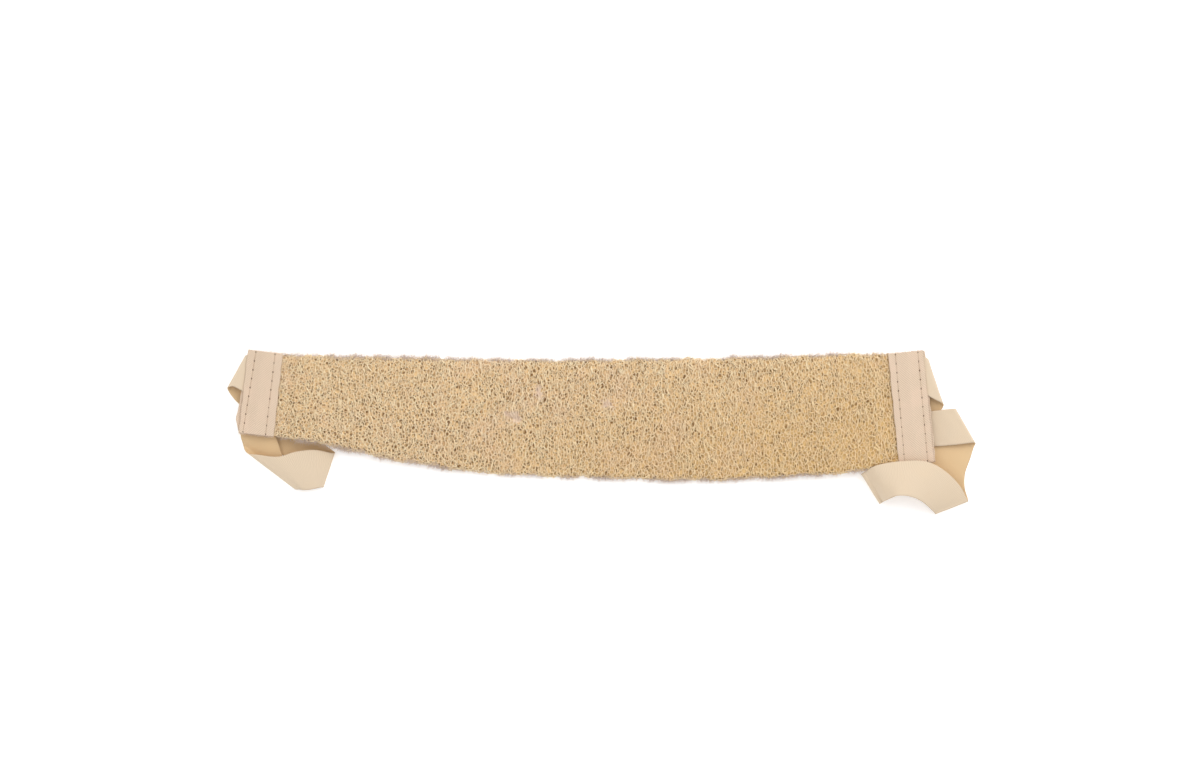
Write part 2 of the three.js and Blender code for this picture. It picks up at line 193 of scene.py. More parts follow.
def strip_skin(steps_along, steps_round):
    """The skin's points and its share of full relief, as one grid."""
    shares = np.linspace(0.0, 1.0, steps_along + 1)
    upper, length = evenly(smooth_line(strip_upper_edge, 12), shares)
    lower, _ = evenly(smooth_line(strip_lower_edge, 12), shares)
    across = upper - lower
    across /= np.linalg.norm(across, axis=1)[:, None]
    from_end = np.minimum(shares, 1 - shares) * length
    ease = ramp(from_end, sewn_length, sewn_length + ease_length)
    relief = ramp(from_end, pressed_length, pressed_length + relief_length)
    upper = upper + across * (uneven(shares * length, 1.3) * ease)[:, None]
    lower = lower - across * (uneven(shares * length, 4.1) * ease)[:, None]
    middle = (upper + lower) / 2
    half = np.linalg.norm(upper - lower, axis=1) / 2
    slow = 0.00035 * np.sin(middle[:, 0] / 0.031) + 0.00025 * np.sin(middle[:, 0] / 0.013 + 1)
    radius = (sewn_thickness + (strip_thickness + slow - sewn_thickness) * ease) / 2
    flat = half - radius
    turns = np.arange(steps_round) / steps_round
    arc = math.pi * radius
    # From the middle of the underside, round the lower edge, over the top and back
    d = turns[None, :] * (4 * flat + 2 * arc)[:, None]
    f, a, r = flat[:, None], arc[:, None], radius[:, None]
    first = np.clip((d - f) / r, 0, math.pi)
    second = np.clip((d - 3 * f - a) / r, 0, math.pi)
    under = np.clip(d, 0, f)
    over = np.clip(d - f - a, 0, 2 * f)
    back = np.clip(d - 3 * f - 2 * a, 0, f)
    side = -under - r * np.sin(first) + over + r * np.sin(second) - back
    height = -r * np.cos(first) - r * (1 - np.cos(second))
    points = np.zeros((steps_along + 1, steps_round, 3))
    points[..., :2] = middle[:, None, :] + across[:, None, :] * side[..., None]
    floor = lift_at(points[..., 0]) + base_height
    points[..., 2] = floor + r + height
    return points, np.repeat(relief[:, None], steps_round, axis=1)


def skin_object(name, steps_along, steps_round):
    points, relief = strip_skin(steps_along, steps_round)
    index = np.arange(points.shape[0] * steps_round).reshape(-1, steps_round)
    faces = []
    corners = []
    for i in range(steps_along):
        for j in range(steps_round):
            k = (j + 1) % steps_round
            faces.append((index[i, j], index[i + 1, j], index[i + 1, k], index[i, k]))
            low, high = j / steps_round, (j + 1) / steps_round
            left, right = i / steps_along, (i + 1) / steps_along
            corners += [left, low, right, low, right, high, left, high]
    faces.append(tuple(index[0]))
    faces.append(tuple(index[-1][::-1]))
    corners += [0.0, 0.0] * (2 * steps_round)
    mesh = bpy.data.meshes.new(name)
    mesh.from_pydata(points.reshape(-1, 3).tolist(), [], faces)
    mesh.uv_layers.new(name="skin")
    mesh.uv_layers["skin"].data.foreach_set("uv", corners)
    mesh.attributes.new("relief", "FLOAT", "POINT").data.foreach_set("value", relief.ravel())
    mesh.polygons.foreach_set("use_smooth", [True] * len(mesh.polygons))
    return placed(name, mesh)


skin = skin_object("smooth skin", 280, 90)


def add(tree, kind, inputs=(), **settings):
    """One node of a tree. An input is a value, or the output that it is joined to."""
    made = tree.nodes.new(kind)
    for name, value in settings.items():
        setattr(made, name, value)
    for key, value in dict(inputs).items():
        if isinstance(value, bpy.types.NodeSocket):
            tree.links.new(value, made.inputs[key])
        else:
            made.inputs[key].default_value = value
    return made


def first(tree, kind, inputs=(), **settings):
    """The first output of a new node."""
    return add(tree, kind, inputs, **settings).outputs[0]


def new_tree(name, inputs, outputs=(("Geometry", "Geometry"),), kind="GeometryNodeTree"):
    """A node tree with named inputs, each given by its value or by its kind."""
    tree = bpy.data.node_groups.new(name, kind)
    kinds = {float: "Float", int: "Int", tuple: "Color"}
    for label, value in inputs.items():
        socket = "NodeSocket" + (value if isinstance(value, str) else kinds[type(value)])
        made = tree.interface.new_socket(name=label, in_out="INPUT", socket_type=socket)
        if not isinstance(value, str):
            made.default_value = value
    for label, socket in outputs:
        socket = "NodeSocket" + socket
        tree.interface.new_socket(name=label, in_out="OUTPUT", socket_type=socket)
    return tree, add(tree, "NodeGroupInput").outputs


def end_tree(tree, **outputs):
    add(tree, "NodeGroupOutput", outputs)


def calc(tree, operation, a, b=0.0, c=0.0):
    return first(tree, "ShaderNodeMath", {0: a, 1: b, 2: c}, operation=operation)


def times(tree, a, b):
    return calc(tree, "MULTIPLY", a, b)


def times_plus(tree, a, b, c):
    return calc(tree, "MULTIPLY_ADD", a, b, c)


def vec(tree, operation, a, b=(0.0, 0.0, 0.0), scale=1.0):
    inputs = {0: a, 1: b, "Scale": scale} if operation == "SCALE" else {0: a, 1: b}
    return first(tree, "ShaderNodeVectorMath", inputs, operation=operation)


def joined(tree, x=0.0, y=0.0, z=0.0):
    return first(tree, "ShaderNodeCombineXYZ", {0: x, 1: y, 2: z})


def split(tree, value):
    return add(tree, "ShaderNodeSeparateXYZ", {0: value}).outputs


def between(tree, value, low, high, least=0.0, most=1.0):
    """Turns low to high into least to most, and stays inside those."""
    inputs = {0: value, 1: low, 2: high, 3: least, 4: most}
    return first(tree, "ShaderNodeMapRange", inputs, clamp=True)


def noise(tree, place, scale, detail=2.0):
    """Noise from 0 to 1, as a number and as three numbers."""
    inputs = {"Vector": place, "Scale": scale, "Detail": detail}
    made = add(tree, "ShaderNodeTexNoise", inputs, noise_dimensions="3D")
    return made.outputs[0], made.outputs[1]


def centred(tree, three_numbers):
    return vec(tree, "SUBTRACT", three_numbers, (0.5, 0.5, 0.5))


def random_number(tree, low, high, seed, each=None):
    """A random number for each point, or for each of the things that are given."""
    inputs = {2: low, 3: high, "Seed": seed}
    if each is not None:
        inputs["ID"] = each
    return add(tree, "FunctionNodeRandomValue", inputs, data_type="FLOAT").outputs[1]


def random_vector(tree, low, high, seed):
    inputs = {0: low, 1: high, "Seed": seed}
    return first(tree, "FunctionNodeRandomValue", inputs, data_type="FLOAT_VECTOR")


def position(tree):
    return first(tree, "GeometryNodeInputPosition")


def surface_normal(tree):
    return first(tree, "GeometryNodeInputNormal")


def share_along(tree):
    """How far along its curve a point lies, from 0 to 1."""
    return add(tree, "GeometryNodeSplineParameter").outputs["Factor"]


def named(tree, name, data_type="FLOAT"):
    inputs = {"Name": name}
    return first(tree, "GeometryNodeInputNamedAttribute", inputs, data_type=data_type)


def stored(tree, geometry, name, value):
    inputs = {"Geometry": geometry, "Name": name, "Value": value}
    kind = "GeometryNodeStoreNamedAttribute"
    return first(tree, kind, inputs, data_type="FLOAT", domain="POINT")


def mesh_of(tree, thing):
    return add(tree, "GeometryNodeObjectInfo", {"Object": thing}).outputs["Geometry"]


def moved(tree, geometry, **to):
    """Moves points by an Offset, or to a Position."""
    return first(tree, "GeometryNodeSetPosition", {"Geometry": geometry, **to})


def over_table(tree, place):
    return vec(tree, "MAXIMUM", place, (-1.0, -1.0, least_height))


def curve_of(tree, mesh):
    return first(tree, "GeometryNodeMeshToCurve", {"Mesh": mesh})


def resampled(tree, curve, count):
    return first(tree, "GeometryNodeResampleCurve", {"Curve": curve, "Count": count})


def straight_line(tree, start, end, count):
    line = first(tree, "GeometryNodeCurvePrimitiveLine", {"Start": start, "End": end})
    return resampled(tree, line, count)


def realized(tree, copies):
    return first(tree, "GeometryNodeRealizeInstances", {"Geometry": copies})


def planted(tree, points, thing, rotation, size):
    """A copy of a thing on each point, as real geometry."""
    inputs = {
        "Points": points, "Instance": thing, "Rotation": rotation,
        "Scale": joined(tree, size, size, size),
    }
    return realized(tree, first(tree, "GeometryNodeInstanceOnPoints", inputs))


def tubes_along(tree, curves, radius, sides):
    ring = first(tree, "GeometryNodeCurvePrimitiveCircle", {"Resolution": sides, "Radius": 1.0})
    inputs = {"Curve": curves, "Profile Curve": ring, "Scale": radius, "Fill Caps": True}
    return first(tree, "GeometryNodeCurveToMesh", inputs)


def finish_tree(tree, geometry, material):
    """Every tree ends the same way: real geometry, with its material."""
    inputs = {"Geometry": realized(tree, geometry), "Material": material}
    end_tree(tree, Geometry=first(tree, "GeometryNodeSetMaterial", inputs))


def grow(name, tree, values, start=None):
    """Runs a tree and keeps what it makes as a plain mesh, in a new object."""
    mesh = bpy.data.meshes.new(name) if start is None else start.data.copy()
    piece = placed(name, mesh)
    modifier = piece.modifiers.new("grow", "NODES")
    modifier.node_group = tree
    for item in tree.interface.items_tree:
        if item.in_out == "INPUT" and item.name in values:
            modifier[item.identifier] = values[item.name]
    graph = bpy.context.evaluated_depsgraph_get()
    grown = bpy.data.meshes.new_from_object(
        piece.evaluated_get(graph), preserve_all_data_layers=True, depsgraph=graph
    )
    piece.modifiers.clear()
    piece.data = grown
    grown.name = name
    return piece


def wrap_tree():
    """Lays points of the flat, unrolled skin on the real one, at a height over it."""
    inputs = {"Geometry": "Geometry", "Skin": "Object", "Height": 0.0}
    tree, given = new_tree("Wrap onto the strip", inputs)
    parts = split(tree, position(tree))
    u = times_plus(tree, parts[0], 1 / unrolled_size[0], 0.5)
    u = first(tree, "ShaderNodeClamp", {0: u, 1: 0.001, 2: 0.999})
    v = calc(tree, "FRACT", times_plus(tree, parts[1], 1 / unrolled_size[1], 0.5))
    at = joined(tree, u, v)
    layer = named(tree, "skin", "FLOAT_VECTOR")

    def sampled(value, data_type="FLOAT_VECTOR"):
        inputs = {"Mesh": mesh_of(tree, given["Skin"]), "Value": value, 2: layer, 3: at}
        return first(tree, "GeometryNodeSampleUVSurface", inputs, data_type=data_type)

    # Beside a tape the fibres are squeezed flat, and a little into the strip
    relief = sampled(named(tree, "relief"), "FLOAT")
    share = times_plus(tree, relief, 1.0 + squeezed_share, -squeezed_share)
    height = times(tree, given["Height"], calc(tree, "MAXIMUM", share, 0.0))
    lost = calc(tree, "SUBTRACT", 1.0, share)
    height = times_plus(tree, lost, -squeezed_in, height)
    raised = vec(tree, "SCALE", sampled(surface_normal(tree)), scale=height)
    place = over_table(tree, vec(tree, "ADD", sampled(position(tree)), raised))
    end_tree(tree, Geometry=moved(tree, given["Geometry"], Position=place))
    return tree


wrap = wrap_tree()


def wrapped_tubes(tree, curves, height, radius, skin_socket):
    """Lays curves on the strip and gives them a three-sided thickness."""
    inputs = {"Geometry": curves, "Skin": skin_socket, "Height": height}
    laid = first(tree, "GeometryNodeGroup", inputs, node_tree=wrap)
    return tubes_along(tree, laid, radius, 3)


# The loofah strip: its finish
# Dried fibre is pale straw where the light falls on it. The deep net and the heart take
# darker tans, a painted shade for fibre that lies further in. The strip has faint rosy
# patches, and turns more golden towards its lower right.
# Wisps of the gourd's pale inner skin, given here by x, y and reach, still lie on it.
pale_wisps = ((-0.075, 0.014, 0.0062), (0.0055, 0.0225, 0.0056), (-0.053, 0.0355, 0.0050))
wisp_colour = (0.88, 0.70, 0.56, 1.0)
wisp_stray = 0.022
holes_per_metre = 430.0


def blend(tree, share, low, high):
    made = add(tree, "ShaderNodeMix", {0: share, 6: low, 7: high}, data_type="RGBA")
    return made.outputs[2]


def object_place(tree):
    return add(tree, "ShaderNodeTexCoord").outputs["Object"]


def mask(tree, name):
    return add(tree, "ShaderNodeAttribute", attribute_name=name).outputs["Fac"]


def fibre_tone_group():
    tree, given = new_tree(
        "Dried fibre tone",
        {
            "Pale": (0.8, 0.6, 0.4, 1.0), "Deep": (0.5, 0.35, 0.2, 1.0),
            "Rosy": (0.74, 0.52, 0.38, 1.0), "Golden": (0.68, 0.46, 0.22, 1.0), "Painted pit shade": 0.0,
        },
        (("Colour", "Color"), ("Roughness", "Float")),
        "ShaderNodeTree",
    )
    place = object_place(tree)
    x, y, _ = split(tree, place)
    tone = mask(tree, "tone")
    patch, _ = noise(tree, place, 26.0, 3.0)
    speck, _ = noise(tree, place, 900.0, 2.0)
    shade = calc(tree, "ADD", tone, times_plus(tree, speck, 0.4, -0.2))
    cells = add(tree, "ShaderNodeTexVoronoi", {"Vector": place, "Scale": holes_per_metre})
    # Painted shade: dark spots in a cell pattern stand for the shade in the holes, and grow larger
    # towards the lower edge
    hole = between(tree, calc(tree, "ADD", cells.outputs["Distance"], y), 0.49, 0.29)
    shade = calc(tree, "SUBTRACT", shade, times(tree, hole, given["Painted pit shade"]))
    colour = blend(tree, between(tree, shade, 0.0, 1.0), given["Deep"], given["Pale"])
    faint = times(tree, tone, 0.6)
    rosy_share = times(tree, between(tree, patch, 0.50, 0.68), faint)
    colour = blend(tree, rosy_share, colour, given["Rosy"])
    slant = times_plus(tree, y, -2.6, x)
    wander = between(tree, times_plus(tree, patch, 0.12, slant), -0.05, 0.42)
    golden_share = times(tree, wander, times(tree, tone, 0.95))
    colour = blend(tree, golden_share, colour, given["Golden"])
    _, stray = noise(tree, place, 130.0, 3.0)
    torn = vec(tree, "ADD", place, vec(tree, "SCALE", stray, scale=wisp_stray))
    torn = vec(tree, "MULTIPLY", torn, (1.0, 1.0, 0.0))
    for wisp_x, wisp_y, reach in pale_wisps:
        centre = (wisp_x + wisp_stray / 2, wisp_y + wisp_stray / 2, 0.0)
        away = add(tree, "ShaderNodeVectorMath", {0: torn, 1: centre}, operation="DISTANCE")
        share = between(tree, away.outputs["Value"], reach, reach * 0.5, 0.0, 0.75)
        colour = blend(tree, share, colour, wisp_colour)
    end_tree(tree, Colour=colour, Roughness=between(tree, speck, -1.0, 1.4))
    return tree


fibre_tone = fibre_tone_group()


def opaque(**colours):
    return {label: (*colour, 1.0) for label, colour in colours.items()}


def fibre_material(name, pale, deep, rosy, golden, pit_shade=0.0):
    material, tree, shader = new_material(name)
    inputs = opaque(Pale=pale, Deep=deep, Rosy=rosy, Golden=golden)
    tone = add(tree, "ShaderNodeGroup", {**inputs, "Painted pit shade": pit_shade}, node_tree=fibre_tone)
    tree.links.new(tone.outputs["Colour"], shader["Base Color"])
    tree.links.new(tone.outputs["Roughness"], shader["Roughness"])
    shader["Specular IOR Level"].default_value = 0.35
    return material


outer_fibre = fibre_material(
    "outer fibre", (0.99, 0.84, 0.58), (0.93, 0.72, 0.45), (0.98, 0.77, 0.58), (0.92, 0.66, 0.315)
)
# The deep net's darker tans are painted shade for fibre that lies further in
inner_fibre = fibre_material(
    "inner fibre", (0.90, 0.69, 0.43), (0.70, 0.50, 0.28), (0.86, 0.64, 0.45), (0.84, 0.59, 0.29)
)
# The heart's dark Deep colour is painted shade at the bottom of its pits and holes
heart_fibre = fibre_material(
    "heart fibre", (0.81, 0.57, 0.30), (0.22, 0.11, 0.035), (0.76, 0.53, 0.33), (0.66, 0.43, 0.16), 1.0
)

# The loofah strip: its heart
# Under the outer net lies a dense felt of short fibres. It is seen only at the bottom of
# the holes, so it is one closed body with pits pressed into it.
heart_depth = 0.0011
pit_depth = 0.0016
pits_per_metre = 270.0


def heart_tree():
    tree, given = new_tree(
        "Heart of the strip",
        {
            "Geometry": "Geometry", "Depth": heart_depth, "Pit depth": pit_depth,
            "Pits per metre": pits_per_metre, "Material": "Material",
        },
    )
    place = position(tree)
    _, stray = noise(tree, place, 140.0)
    bent = vec(tree, "ADD", place, vec(tree, "SCALE", stray, scale=0.006))
    cells = add(tree, "ShaderNodeTexVoronoi", {"Vector": bent, "Scale": given["Pits per metre"]})
    chance = split(tree, cells.outputs["Color"])[0]
    patch, _ = noise(tree, place, 22.0, 2.0)
    rare = times_plus(tree, patch, 1.6, calc(tree, "SUBTRACT", chance, 0.85))
    pit = between(tree, cells.outputs["Distance"], 0.50, 0.28)
    pit = times(tree, pit, between(tree, rare, -0.1, 0.3))
    depth = times_plus(tree, pit, given["Pit depth"], given["Depth"])
    squeeze = times_plus(tree, named(tree, "relief"), 0.25, 0.75)
    inward = times(tree, times(tree, depth, squeeze), -1.0)
    down = vec(tree, "SCALE", surface_normal(tree), scale=inward)
    pressed = moved(tree, given["Geometry"], Offset=down)
    # Painted shade: the bottom of each pit takes the dark Deep colour
    toned = stored(tree, pressed, "tone", calc(tree, "SUBTRACT", 1.0, pit))
    finish_tree(tree, toned, given["Material"])
    return tree


fine_skin = skin_object("fine skin", 430, 130)
heart = grow("loofah_heart", heart_tree(), {"Material": heart_fibre}, start=fine_skin)
bpy.data.objects.remove(fine_skin)
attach(heart, "root")
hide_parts("loofah_strip")

# The loofah strip: its net
# The gourd's fibres part and join again in a net of small uneven meshes, longer across the
# strip than along it. A deep net shows through the holes of the outer one.


def band(tree, given):
    """The width and the middle of the band of skin between two given lines."""
    span = calc(tree, "SUBTRACT", given["To"], given["From"])
    return span, times(tree, calc(tree, "ADD", given["To"], given["From"]), 0.5)


def waved(tree, curves, scale, reach):
    """Bends curves to and fro, by up to half of the reach."""
    _, wave = noise(tree, position(tree), scale, 1.0)
    return moved(tree, curves, Offset=vec(tree, "MULTIPLY", centred(tree, wave), reach))


def net_tree():
    tree, given = new_tree(
        "Net of fibres",
        {
            "Skin": "Object", "From": -0.05, "To": 0.05, "Mesh along": 0.004,
            "Mesh across": 0.005, "Stray": 0.35, "Low": -0.0005, "High": 0.0004,
            "Thin": 0.0002, "Thick": 0.0004, "Joints": 2, "Seed": 1, "Material": "Material",
        },
    )
    span, middle = band(tree, given)
    columns = calc(tree, "DIVIDE", unrolled_size[0], given["Mesh along"])
    rows = calc(tree, "DIVIDE", span, given["Mesh across"])
    grid = first(tree, "GeometryNodeMeshGrid", {0: unrolled_size[0], 1: span, 2: columns, 3: rows})
    stray_x = times(tree, given["Mesh along"], given["Stray"])
    stray_y = times(tree, given["Mesh across"], given["Stray"])
    most = joined(tree, stray_x, stray_y)
    stray = random_vector(tree, vec(tree, "SCALE", most, scale=-1.0), most, given["Seed"])
    offset = vec(tree, "ADD", stray, joined(tree, y=middle))
    strayed = moved(tree, grid, Offset=offset)
    thirds = first(tree, "GeometryNodeTriangulate", {"Mesh": strayed})
    meshes = first(tree, "GeometryNodeDualMesh", {"Mesh": thirds})
    joints = resampled(tree, curve_of(tree, meshes), given["Joints"])
    wavy = waved(tree, joints, 420.0, (0.003, 0.003, 0.0))
    hill, _ = noise(tree, position(tree), 260.0, 2.0)
    height = between(tree, hill, 0.3, 0.7, given["Low"], given["High"])
    which = add(tree, "GeometryNodeCurveOfPoint").outputs["Curve Index"]
    toned = stored(tree, wavy, "tone", random_number(tree, 0.0, 1.0, given["Seed"], which))
    thickness = random_number(tree, given["Thin"], given["Thick"], given["Seed"])
    tubes = wrapped_tubes(tree, toned, height, thickness, given["Skin"])
    finish_tree(tree, tubes, given["Material"])
    return tree


def keep_on_strip(piece):
    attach(piece, "root")


net = net_tree()
upper_side = (-0.053, 0.053)
under_side = (0.051, 0.149)
both_sides = (-0.1, 0.1)
nets = {
    "net_upper": (upper_side, (0.0026, 0.0036, 0.46), (-0.0010, 0.0004), (0.00023, 0.00042), 11),
    "net_under": (under_side, (0.0036, 0.0048, 0.45), (-0.0008, 0.0002), (0.00030, 0.00050), 12),
    "net_deep": (both_sides, (0.0043, 0.0053, 0.45), (-0.0016, -0.0008), (0.00026, 0.00048), 13),
}
for name, (side, (along, across, stray), (low, high), (thin, thick), seed) in nets.items():
    values = {
        "Skin": skin, "From": side[0], "To": side[1], "Mesh along": along, "Mesh across": across,
        "Stray": stray, "Low": low, "High": high, "Thin": thin, "Thick": thick, "Seed": seed,
        "Material": inner_fibre if name == "net_deep" else outer_fibre,
    }
    keep_on_strip(grow(name, net, values))

# The loofah strip: its strands
# Over the net lie loose strands, mostly across the strip. Each rises out of the net and
# dives back into it. The fuzz along the two edges is the same fibre, worn thin and pale.


def strand_tree():
    tree, given = new_tree(
        "Loose strands",
        {
            "Skin": "Object", "From": -0.05, "To": 0.05, "Strands per square metre": 80000.0,
            "Short": 0.0034, "Long": 0.0080, "Slant": 1.3, "Bend": 0.0045, "Low": -0.0009,
            "High": 0.0010, "Thin": 0.00025, "Thick": 0.00048, "Joints": 4, "Seed": 1,
            "Material": "Material",
        },
    )

    def seed(step):
        return calc(tree, "ADD", given["Seed"], float(step))

    span, middle = band(tree, given)
    sheet = first(tree, "GeometryNodeMeshGrid", {0: unrolled_size[0], 1: span, 2: 2, 3: 2})
    sheet = moved(tree, sheet, Offset=joined(tree, y=middle))
    density = given["Strands per square metre"]
    inputs = {"Mesh": sheet, "Density": density, "Seed": given["Seed"]}
    points = first(tree, "GeometryNodeDistributePointsOnFaces", inputs)
    points = stored(tree, points, "lift", random_number(tree, 0.0, 1.0, seed(101)))
    points = stored(tree, points, "tone", random_number(tree, 0.0, 1.0, seed(202)))
    # Two draws added together make slight slants more common than great ones
    turn = calc(
        tree,
        "ADD",
        random_number(tree, -0.5, 0.5, seed(303)),
        random_number(tree, -0.5, 0.5, seed(304)),
    )
    rotation = joined(tree, z=times(tree, turn, given["Slant"]))
    size = random_number(tree, given["Short"], given["Long"], seed(404))
    line = straight_line(tree, (0.0, -0.5, 0.0), (0.0, 0.5, 0.0), given["Joints"])
    strands = planted(tree, points, line, rotation, size)
    wavy = waved(tree, strands, 190.0, joined(tree, given["Bend"], given["Bend"]))
    lift = named(tree, "lift")
    arch = calc(tree, "SINE", times(tree, share_along(tree), math.pi))
    share = times(tree, arch, times_plus(tree, lift, 0.75, 0.25))
    height = between(tree, share, 0.0, 1.0, given["Low"], given["High"])
    width = between(tree, lift, 0.0, 1.0, given["Thin"], given["Thick"])
    thickness = times(tree, width, times_plus(tree, arch, 0.5, 0.5))
    tubes = wrapped_tubes(tree, wavy, height, thickness, given["Skin"])
    finish_tree(tree, tubes, given["Material"])
    return tree


strands = strand_tree()
for name, side, count, seed in (
    ("strands_upper", upper_side, 88000.0, 21),
    ("strands_under", under_side, 50000.0, 22),
):
    values = {
        "Skin": skin, "From": side[0], "To": side[1], "Strands per square metre": count,
        "Seed": seed, "Material": outer_fibre,
    }
    keep_on_strip(grow(name, strands, values))

fuzz_colour = fibre_material(
    "worn fuzz", (0.78, 0.67, 0.59), (0.70, 0.57, 0.49), (0.76, 0.64, 0.58), (0.72, 0.58, 0.44)
)


def leaning(tree, rotation, most, seed):
    """Leans a rotation by up to most, and turns it about its own line."""
    lean = random_vector(tree, (-most, -most, -3.1), (most, most, 3.1), seed)
    inputs = {0: rotation, 1: lean}
    return first(tree, "FunctionNodeRotateRotation", inputs, rotation_space="LOCAL")


def fuzz_tree():
    tree, given = new_tree(
        "Fuzz along the edges",
        {
            "Skin": "Object", "Hairs per square metre": 2400000.0, "Short": 0.0016,
            "Long": 0.0056, "Thickness": 0.00015, "Seed": 31, "Material": "Material",
        },
    )
    tilt = calc(tree, "ABSOLUTE", split(tree, surface_normal(tree))[1])
    sideways = calc(tree, "GREATER_THAN", tilt, 0.7)
    free = calc(tree, "GREATER_THAN", named(tree, "relief"), 0.7)
    clump, _ = noise(tree, position(tree), 95.0, 2.0)
    density = times(tree, sideways, free)
    density = times(tree, density, given["Hairs per square metre"])
    density = times(tree, density, between(tree, clump, 0.38, 0.62))
    skin_mesh = mesh_of(tree, given["Skin"])
    inputs = {"Mesh": skin_mesh, "Density": density, "Seed": given["Seed"]}
    points = add(tree, "GeometryNodeDistributePointsOnFaces", inputs).outputs
    lean = leaning(tree, points["Rotation"], 1.1, calc(tree, "ADD", given["Seed"], 5.0))
    size = random_number(tree, given["Short"], given["Long"], given["Seed"])
    line = straight_line(tree, (0.0, 0.0, -0.4), (0.0, 0.0, 1.0), 3)
    hairs = planted(tree, points[0], line, lean, size)
    _, curl = noise(tree, position(tree), 480.0, 1.0)
    curl = vec(tree, "SCALE", centred(tree, curl), scale=0.0035)
    curl = vec(tree, "SCALE", curl, scale=share_along(tree))
    place = over_table(tree, vec(tree, "ADD", position(tree), curl))
    curled = moved(tree, hairs, Position=place)
    taper = times_plus(tree, share_along(tree), -0.7, 1.0)
    radius = times(tree, given["Thickness"], taper)
    finish_tree(tree, tubes_along(tree, curled, radius, 3), given["Material"])
    return tree


keep_on_strip(grow("edge_fuzz", fuzz_tree(), {"Skin": skin, "Material": fuzz_colour}))

# The tapes
# Four lengths of plain cotton twill tape, 30 mm wide, cut square. A front and a back tape
# close over each end of the strip like a sandwich, and their outer edges meet past it.
tape_width = 0.030
tape_thickness = 0.00062
tape_steps = (121, 41)
tapes = {
    "front_tape_left": ("left", 1, (-0.2848, 0.069), (-0.2926, -0.0013), None),
    "back_tape_left": ("left", -1, (-0.2836, 0.0672), (-0.2976, -0.0034), (0.005, 0.012)),
    "front_tape_right": ("right", 1, (0.2578, 0.0686), (0.2670, -0.0257), None),
    "back_tape_right": ("right", -1, (0.2592, 0.0682), (0.2686, -0.0254), None),
}
seam_runs = {
    "outer_left": ("left", -0.008, -0.0115),
    "inner_left": ("left", 0.0085, 0.008),
    "outer_right": ("right", -0.0104, -0.0097),
    "inner_right": ("right", 0.009, 0.010),
}
strip_overlap = 0.0088
outer_half_gap = 0.0006
strip_clearance = 0.0003
swell_height = 0.0006
swell_reach = 0.0092
stitch_length = 0.0075
seam_inset = 0.0012
seam_dip = 0.00030
needle_dip = 0.00022
dip_reach = 0.0011
seam_swell = 0.00010


def tape_frame(name):
    end, face, top, bottom, _ = tapes[name]
    top, bottom = np.array(top), np.array(bottom)
    length = np.linalg.norm(bottom - top)
    axis = (bottom - top) / length
    inward = np.array((-axis[1], axis[0]))
    if end == "right":
        inward = -inward
    return end, face, top, axis, inward, length


def tape_height(name, across):
    """The height of a tape's middle surface, without its stitches."""
    end, face = tapes[name][:2]
    over_strip = ramp(across, -strip_overlap, 0.0)
    opening = sewn_thickness / 2 + strip_clearance - outer_half_gap
    half_gap = outer_half_gap + opening * over_strip
    swell = swell_height * np.cos(math.pi / 2 * np.clip(across / swell_reach, -1, 1)) ** 2
    middle = end_lift[end] + base_height + sewn_thickness / 2
    return middle + face * (half_gap + tape_thickness / 2 + swell)


def stitches_in(end):
    length = tape_frame(f"front_tape_{end}")[5]
    return round((length - 2 * seam_inset) / stitch_length)


def dip_at(end, places):
    """How far the stitches pull the tapes in. The needle goes straight through both."""
    _, _, top, axis, inward, length = tape_frame(f"front_tape_{end}")
    along = (places - top) @ axis / length
    across = (places - top) @ inward
    step = (along * length - seam_inset) / (length - 2 * seam_inset) * stitches_in(end)
    sewn = ramp(step, -0.4, 0.0) * ramp(stitches_in(end) - step, -0.4, 0.0)
    depth = (seam_dip + needle_dip * np.cos(math.pi * step) ** 10) * sewn
    dip = np.zeros(along.shape)
    for seam_end, start, finish in seam_runs.values():
        if seam_end == end:
            away = (across - start - (finish - start) * along) / dip_reach
            dip += depth * np.exp(-(away**2))
            # Either side of the stitches the cloth swells a little between two needles
            between_needles = np.sin(math.pi * step) ** 2
            dip -= seam_swell * sewn * between_needles * np.exp(-((away / 2.4) ** 2))
    return dip


def tape_rows(name, steps_along, steps_across):
    end, face, top, axis, inward, length = tape_frame(name)
    trim = tapes[name][4]
    along = np.linspace(0, 1, steps_along)[:, None] * np.ones((1, steps_across))
    share = np.linspace(-0.5, 0.5, steps_across)[None, :] * np.ones((steps_along, 1))
    across = share * tape_width
    if trim:
        near = np.clip(1 - (1 - along) * length / trim[1], 0, 1)
        across = across + trim[0] * near * (0.5 - share)
    places = top + axis * (along * length)[..., None] + inward * across[..., None]
    height = tape_height(name, across) - face * dip_at(end, places)
    # A cotton tape never lies quite flat, and its edges wander a little
    height += face * 0.00012 * np.sin(along * 19 + share * 5) * np.cos(along * 7 + 2 * face)
    ragged = 2.5 if name == "back_tape_right" else 1.0
    wander = 0.00018 * np.sin(along * 23 + face) + 0.00012 * np.sin(along * 51 + 2) * ragged
    across = across + wander * np.abs(share) * 2
    rows = np.zeros((steps_along, steps_across, 3))
    flat = top + axis * (along * length)[..., None] + inward * across[..., None]
    # The back tape is cut off level with the front one
    _, _, front_top, front_axis, _, front_length = tape_frame(f"front_tape_{end}")
    past = (flat - front_top) @ front_axis - front_length - 0.0002
    rows[..., :2] = flat - front_axis * np.maximum(past, 0)[..., None]
    rows[..., 2] = height
    uv = np.stack([across, along * length], axis=-1)
    if end == "right":
        rows, uv = rows[:, ::-1], uv[:, ::-1]
    return rows, uv


